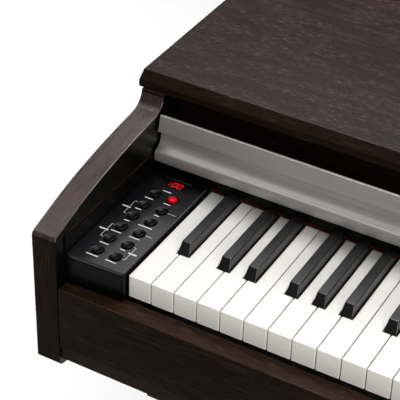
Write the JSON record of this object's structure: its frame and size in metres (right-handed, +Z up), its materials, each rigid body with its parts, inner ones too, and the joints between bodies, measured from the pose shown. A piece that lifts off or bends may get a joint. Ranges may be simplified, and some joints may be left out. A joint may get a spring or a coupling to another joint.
{
  "type": "digital piano on stand",
  "caption": "Console digital piano with a weighted keyboard, left-hand button panel with a red display, sliding key cover with a metal front rail, wood-grain stand and pedals.",
  "frame": {"origin": "on the floor, at the centre of the whole piano's bounding box", "axes": "+X towards the treble end along the keyboard, +Y away from the player, +Z up"},
  "size_m": [1.4076, 0.47, 0.8442],
  "materials": {
    "wood_veneer": "satin dark rosewood-stained veneer, open grain",
    "wood_core": "dark stained board, matte",
    "satin_aluminium": "satin, fine lengthwise brushing",
    "black_gloss": "glossy black",
    "panel_plastic": "fine-textured charcoal",
    "white_key": "glossy ivory white",
    "black_key": "satin black",
    "felt": "dark red felt",
    "chassis_metal": "zinc-plated steel",
    "pedal_metal": "polished nickel",
    "display_glass": "smoked red window over lit digits",
    "lit_button": "translucent red, lit from below",
    "button_plastic": "smooth dark grey",
    "circuit_board": "green solder mask",
    "speaker_black": "black paper cone and steel basket"
  },
  "bodies": {
    "cabinet": {"side_panel_left": "wood_veneer", "side_panel_right": "wood_veneer", "foot_left": "wood_veneer", "foot_right": "wood_veneer", "lid": "wood_veneer", "key_bed": "wood_core", "key_slip": "wood_veneer", "rear_panel": "wood_core", "fascia_board": "wood_core", "stand_back_board": "wood_veneer", "pedal_beam": "wood_veneer", "keyboard_chassis": "chassis_metal", "name_rail": "black_gloss", "red_felt_strip": "felt", "control_block": "panel_plastic", "display_window": "display_glass", "end_block": "panel_plastic", "track_liner_left": "black_gloss", "track_liner_right": "black_gloss", "speaker_left": "speaker_black", "speaker_right": "speaker_black", "main_board": "circuit_board", "power_inlet": "black_gloss", "headphone_box": "black_gloss"},
    "white_a0": {"white_key_a0": "white_key"},
    "white_b0": {"white_key_b0": "white_key"},
    "white_c1": {"white_key_c1": "white_key"},
    "white_d1": {"white_key_d1": "white_key"},
    "white_e1": {"white_key_e1": "white_key"},
    "white_f1": {"white_key_f1": "white_key"},
    "white_g1": {"white_key_g1": "white_key"},
    "black_a_sharp0": {"black_key_a_sharp0": "black_key"},
    "black_c_sharp1": {"black_key_c_sharp1": "black_key"},
    "black_d_sharp1": {"black_key_d_sharp1": "black_key"},
    "black_f_sharp1": {"black_key_f_sharp1": "black_key"},
    "black_g_sharp1": {"black_key_g_sharp1": "black_key"},
    "white_set": {"white_key_set": "white_key"},
    "black_set": {"black_key_set": "black_key"},
    "button_left_1": {"button_left_1": "button_plastic"},
    "button_left_2": {"button_left_2": "button_plastic"},
    "button_left_3": {"button_left_3": "button_plastic"},
    "button_left_4": {"button_left_4": "button_plastic"},
    "button_left_5": {"button_left_5": "button_plastic"},
    "button_left_6": {"button_left_6": "button_plastic"},
    "button_right_1": {"button_right_1": "button_plastic"},
    "button_right_2": {"button_right_2": "button_plastic"},
    "button_right_3": {"button_right_3": "button_plastic"},
    "button_right_4": {"button_right_4": "button_plastic"},
    "button_right_5": {"button_right_5": "button_plastic"},
    "button_right_6": {"button_right_6": "lit_button"},
    "volume_knob": {"volume_knob": "button_plastic"},
    "power_button": {"power_button": "button_plastic"},
    "pedal_soft": {"pedal_soft": "pedal_metal"},
    "pedal_sostenuto": {"pedal_sostenuto": "pedal_metal"},
    "pedal_damper": {"pedal_damper": "pedal_metal"},
    "key_cover": {"cover_rail": "satin_aluminium", "cover_board": "wood_veneer", "cover_runner_left": "black_gloss", "cover_runner_right": "black_gloss"},
    "music_rest": {"music_rest": "wood_veneer"}
  },
  "joints": [
    {"name": "white_key_a0_press", "type": "hinge", "parent": "cabinet", "child": "white_a0", "pos_m": [0, 0.017, 0.725], "axis": [1, 0, 0], "range_deg": [0, 2.5], "stiffness_Nm_per_rad": 0.9, "springref_deg": -17.19},
    {"name": "white_key_b0_press", "type": "hinge", "parent": "cabinet", "child": "white_b0", "pos_m": [0, 0.017, 0.725], "axis": [1, 0, 0], "range_deg": [0, 2.5], "stiffness_Nm_per_rad": 0.9, "springref_deg": -17.19},
    {"name": "white_key_c1_press", "type": "hinge", "parent": "cabinet", "child": "white_c1", "pos_m": [0, 0.017, 0.725], "axis": [1, 0, 0], "range_deg": [0, 2.5], "stiffness_Nm_per_rad": 0.9, "springref_deg": -17.19},
    {"name": "white_key_d1_press", "type": "hinge", "parent": "cabinet", "child": "white_d1", "pos_m": [0, 0.017, 0.725], "axis": [1, 0, 0], "range_deg": [0, 2.5], "stiffness_Nm_per_rad": 0.9, "springref_deg": -17.19},
    {"name": "white_key_e1_press", "type": "hinge", "parent": "cabinet", "child": "white_e1", "pos_m": [0, 0.017, 0.725], "axis": [1, 0, 0], "range_deg": [0, 2.5], "stiffness_Nm_per_rad": 0.9, "springref_deg": -17.19},
    {"name": "white_key_f1_press", "type": "hinge", "parent": "cabinet", "child": "white_f1", "pos_m": [0, 0.017, 0.725], "axis": [1, 0, 0], "range_deg": [0, 2.5], "stiffness_Nm_per_rad": 0.9, "springref_deg": -17.19},
    {"name": "white_key_g1_press", "type": "hinge", "parent": "cabinet", "child": "white_g1", "pos_m": [0, 0.017, 0.725], "axis": [1, 0, 0], "range_deg": [0, 2.5], "stiffness_Nm_per_rad": 0.9, "springref_deg": -17.19},
    {"name": "black_key_a_sharp0_press", "type": "hinge", "parent": "cabinet", "child": "black_a_sharp0", "pos_m": [0, 0.005, 0.725], "axis": [1, 0, 0], "range_deg": [0, 3.2], "stiffness_Nm_per_rad": 0.65, "springref_deg": -17.19},
    {"name": "black_key_c_sharp1_press", "type": "hinge", "parent": "cabinet", "child": "black_c_sharp1", "pos_m": [0, 0.005, 0.725], "axis": [1, 0, 0], "range_deg": [0, 3.2], "stiffness_Nm_per_rad": 0.65, "springref_deg": -17.19},
    {"name": "black_key_d_sharp1_press", "type": "hinge", "parent": "cabinet", "child": "black_d_sharp1", "pos_m": [0, 0.005, 0.725], "axis": [1, 0, 0], "range_deg": [0, 3.2], "stiffness_Nm_per_rad": 0.65, "springref_deg": -17.19},
    {"name": "black_key_f_sharp1_press", "type": "hinge", "parent": "cabinet", "child": "black_f_sharp1", "pos_m": [0, 0.005, 0.725], "axis": [1, 0, 0], "range_deg": [0, 3.2], "stiffness_Nm_per_rad": 0.65, "springref_deg": -17.19},
    {"name": "black_key_g_sharp1_press", "type": "hinge", "parent": "cabinet", "child": "black_g_sharp1", "pos_m": [0, 0.005, 0.725], "axis": [1, 0, 0], "range_deg": [0, 3.2], "stiffness_Nm_per_rad": 0.65, "springref_deg": -17.19},
    {"name": "white_key_set_press", "type": "hinge", "parent": "cabinet", "child": "white_set", "pos_m": [0, 0.017, 0.725], "axis": [1, 0, 0], "range_deg": [0, 2.5], "stiffness_Nm_per_rad": 40, "springref_deg": -17.19},
    {"name": "black_key_set_press", "type": "hinge", "parent": "cabinet", "child": "black_set", "pos_m": [0, 0.005, 0.725], "axis": [1, 0, 0], "range_deg": [0, 3.2], "stiffness_Nm_per_rad": 20, "springref_deg": -17.19},
    {"name": "button_left_1_press", "type": "slide", "parent": "cabinet", "child": "button_left_1", "axis": [0, 0, -1], "range_m": [0, 0.001], "stiffness_N_per_m": 600, "springref_m": -0.0008},
    {"name": "button_left_2_press", "type": "slide", "parent": "cabinet", "child": "button_left_2", "axis": [0, 0, -1], "range_m": [0, 0.001], "stiffness_N_per_m": 600, "springref_m": -0.0008},
    {"name": "button_left_3_press", "type": "slide", "parent": "cabinet", "child": "button_left_3", "axis": [0, 0, -1], "range_m": [0, 0.001], "stiffness_N_per_m": 600, "springref_m": -0.0008},
    {"name": "button_left_4_press", "type": "slide", "parent": "cabinet", "child": "button_left_4", "axis": [0, 0, -1], "range_m": [0, 0.001], "stiffness_N_per_m": 600, "springref_m": -0.0008},
    {"name": "button_left_5_press", "type": "slide", "parent": "cabinet", "child": "button_left_5", "axis": [0, 0, -1], "range_m": [0, 0.001], "stiffness_N_per_m": 600, "springref_m": -0.0008},
    {"name": "button_left_6_press", "type": "slide", "parent": "cabinet", "child": "button_left_6", "axis": [0, 0, -1], "range_m": [0, 0.001], "stiffness_N_per_m": 600, "springref_m": -0.0008},
    {"name": "button_right_1_press", "type": "slide", "parent": "cabinet", "child": "button_right_1", "axis": [0, 0, -1], "range_m": [0, 0.001], "stiffness_N_per_m": 600, "springref_m": -0.0008},
    {"name": "button_right_2_press", "type": "slide", "parent": "cabinet", "child": "button_right_2", "axis": [0, 0, -1], "range_m": [0, 0.001], "stiffness_N_per_m": 600, "springref_m": -0.0008},
    {"name": "button_right_3_press", "type": "slide", "parent": "cabinet", "child": "button_right_3", "axis": [0, 0, -1], "range_m": [0, 0.001], "stiffness_N_per_m": 600, "springref_m": -0.0008},
    {"name": "button_right_4_press", "type": "slide", "parent": "cabinet", "child": "button_right_4", "axis": [0, 0, -1], "range_m": [0, 0.001], "stiffness_N_per_m": 600, "springref_m": -0.0008},
    {"name": "button_right_5_press", "type": "slide", "parent": "cabinet", "child": "button_right_5", "axis": [0, 0, -1], "range_m": [0, 0.001], "stiffness_N_per_m": 600, "springref_m": -0.0008},
    {"name": "button_right_6_press", "type": "slide", "parent": "cabinet", "child": "button_right_6", "axis": [0, 0, -1], "range_m": [0, 0.001], "stiffness_N_per_m": 600, "springref_m": -0.0008},
    {"name": "volume_slide", "type": "slide", "parent": "cabinet", "child": "volume_knob", "axis": [0, 1, 0], "range_m": [-0.014, 0.014]},
    {"name": "power_button_press", "type": "slide", "parent": "cabinet", "child": "power_button", "axis": [0, 0, -1], "range_m": [0, 0.0015], "stiffness_N_per_m": 800, "springref_m": -0.001},
    {"name": "pedal_soft_press", "type": "hinge", "parent": "cabinet", "child": "pedal_soft", "pos_m": [0, 0.025, 0.065], "axis": [1, 0, 0], "range_deg": [0, 4], "stiffness_Nm_per_rad": 12, "springref_deg": -6.88},
    {"name": "pedal_sostenuto_press", "type": "hinge", "parent": "cabinet", "child": "pedal_sostenuto", "pos_m": [0, 0.025, 0.065], "axis": [1, 0, 0], "range_deg": [0, 4], "stiffness_Nm_per_rad": 12, "springref_deg": -6.88},
    {"name": "pedal_damper_press", "type": "hinge", "parent": "cabinet", "child": "pedal_damper", "pos_m": [0, 0.025, 0.065], "axis": [1, 0, 0], "range_deg": [0, 4], "stiffness_Nm_per_rad": 12, "springref_deg": -6.88},
    {"name": "key_cover_slide", "type": "slide", "parent": "cabinet", "child": "key_cover", "axis": [0, -1, 0], "range_m": [0, 0.155]},
    {"name": "music_rest_tilt", "type": "hinge", "parent": "cabinet", "child": "music_rest", "pos_m": [0, 0.035, 0.835], "axis": [1, 0, 0], "range_deg": [0, 68]}
  ]
}
